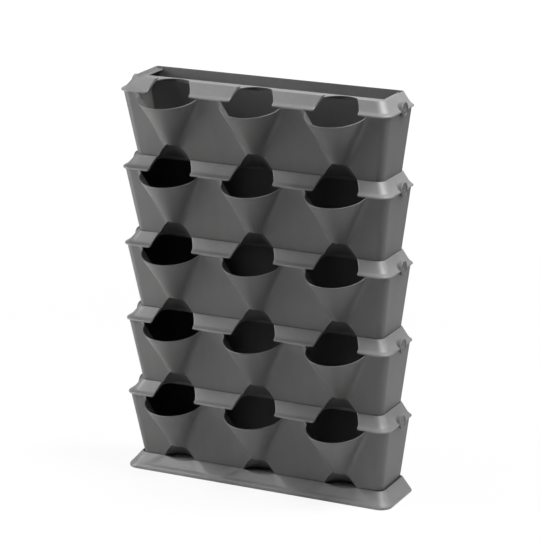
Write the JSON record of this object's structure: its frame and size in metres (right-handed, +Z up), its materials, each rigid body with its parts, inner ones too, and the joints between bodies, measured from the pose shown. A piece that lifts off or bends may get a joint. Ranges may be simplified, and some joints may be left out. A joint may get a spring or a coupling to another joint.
{
  "type": "vertical corner planter",
  "caption": "Tall narrow planter of stacked tapering troughs on a low base tray; each trough has cone-shaped front pockets and a flared cover with cut-outs over them.",
  "frame": {"origin": "bottom centre of the whole planter's bounding box, on the floor", "axes": "+Z up, +X to the right seen from the front, +Y towards the wall behind; the pockets face -Y"},
  "size_m": [0.65, 0.1996, 0.907],
  "materials": {
    "grey": "fine matt moulded grain",
    "light_grey": "fine matt moulded grain"
  },
  "bodies": {
    "base": {"base_tray": "light_grey"},
    "trough_1": {"trough_1": "grey", "side_sleeve_left_1": "grey", "side_sleeve_right_1": "grey"},
    "cover_1": {"cover_1": "light_grey"},
    "trough_2": {"trough_2": "grey", "side_sleeve_left_2": "grey", "side_sleeve_right_2": "grey"},
    "cover_2": {"cover_2": "light_grey"},
    "trough_3": {"trough_3": "grey", "side_sleeve_left_3": "grey", "side_sleeve_right_3": "grey"},
    "cover_3": {"cover_3": "light_grey"},
    "trough_4": {"trough_4": "grey", "side_sleeve_left_4": "grey", "side_sleeve_right_4": "grey"},
    "cover_4": {"cover_4": "light_grey"},
    "trough_5": {"trough_5": "grey", "side_sleeve_left_5": "grey", "side_sleeve_right_5": "grey"},
    "cover_5": {"cover_5": "light_grey"}
  },
  "joints": [
    {"name": "trough_1_lift", "type": "slide", "parent": "base", "child": "trough_1", "axis": [0, 0, 1], "range_m": [0, 0.05]},
    {"name": "cover_1_lift", "type": "slide", "parent": "trough_1", "child": "cover_1", "axis": [0, 0, 1], "range_m": [0, 0.05]},
    {"name": "trough_2_lift", "type": "slide", "parent": "cover_1", "child": "trough_2", "axis": [0, 0, 1], "range_m": [0, 0.05]},
    {"name": "cover_2_lift", "type": "slide", "parent": "trough_2", "child": "cover_2", "axis": [0, 0, 1], "range_m": [0, 0.05]},
    {"name": "trough_3_lift", "type": "slide", "parent": "cover_2", "child": "trough_3", "axis": [0, 0, 1], "range_m": [0, 0.05]},
    {"name": "cover_3_lift", "type": "slide", "parent": "trough_3", "child": "cover_3", "axis": [0, 0, 1], "range_m": [0, 0.05]},
    {"name": "trough_4_lift", "type": "slide", "parent": "cover_3", "child": "trough_4", "axis": [0, 0, 1], "range_m": [0, 0.05]},
    {"name": "cover_4_lift", "type": "slide", "parent": "trough_4", "child": "cover_4", "axis": [0, 0, 1], "range_m": [0, 0.05]},
    {"name": "trough_5_lift", "type": "slide", "parent": "cover_4", "child": "trough_5", "axis": [0, 0, 1], "range_m": [0, 0.05]},
    {"name": "cover_5_lift", "type": "slide", "parent": "trough_5", "child": "cover_5", "axis": [0, 0, 1], "range_m": [0, 0.05]}
  ]
}
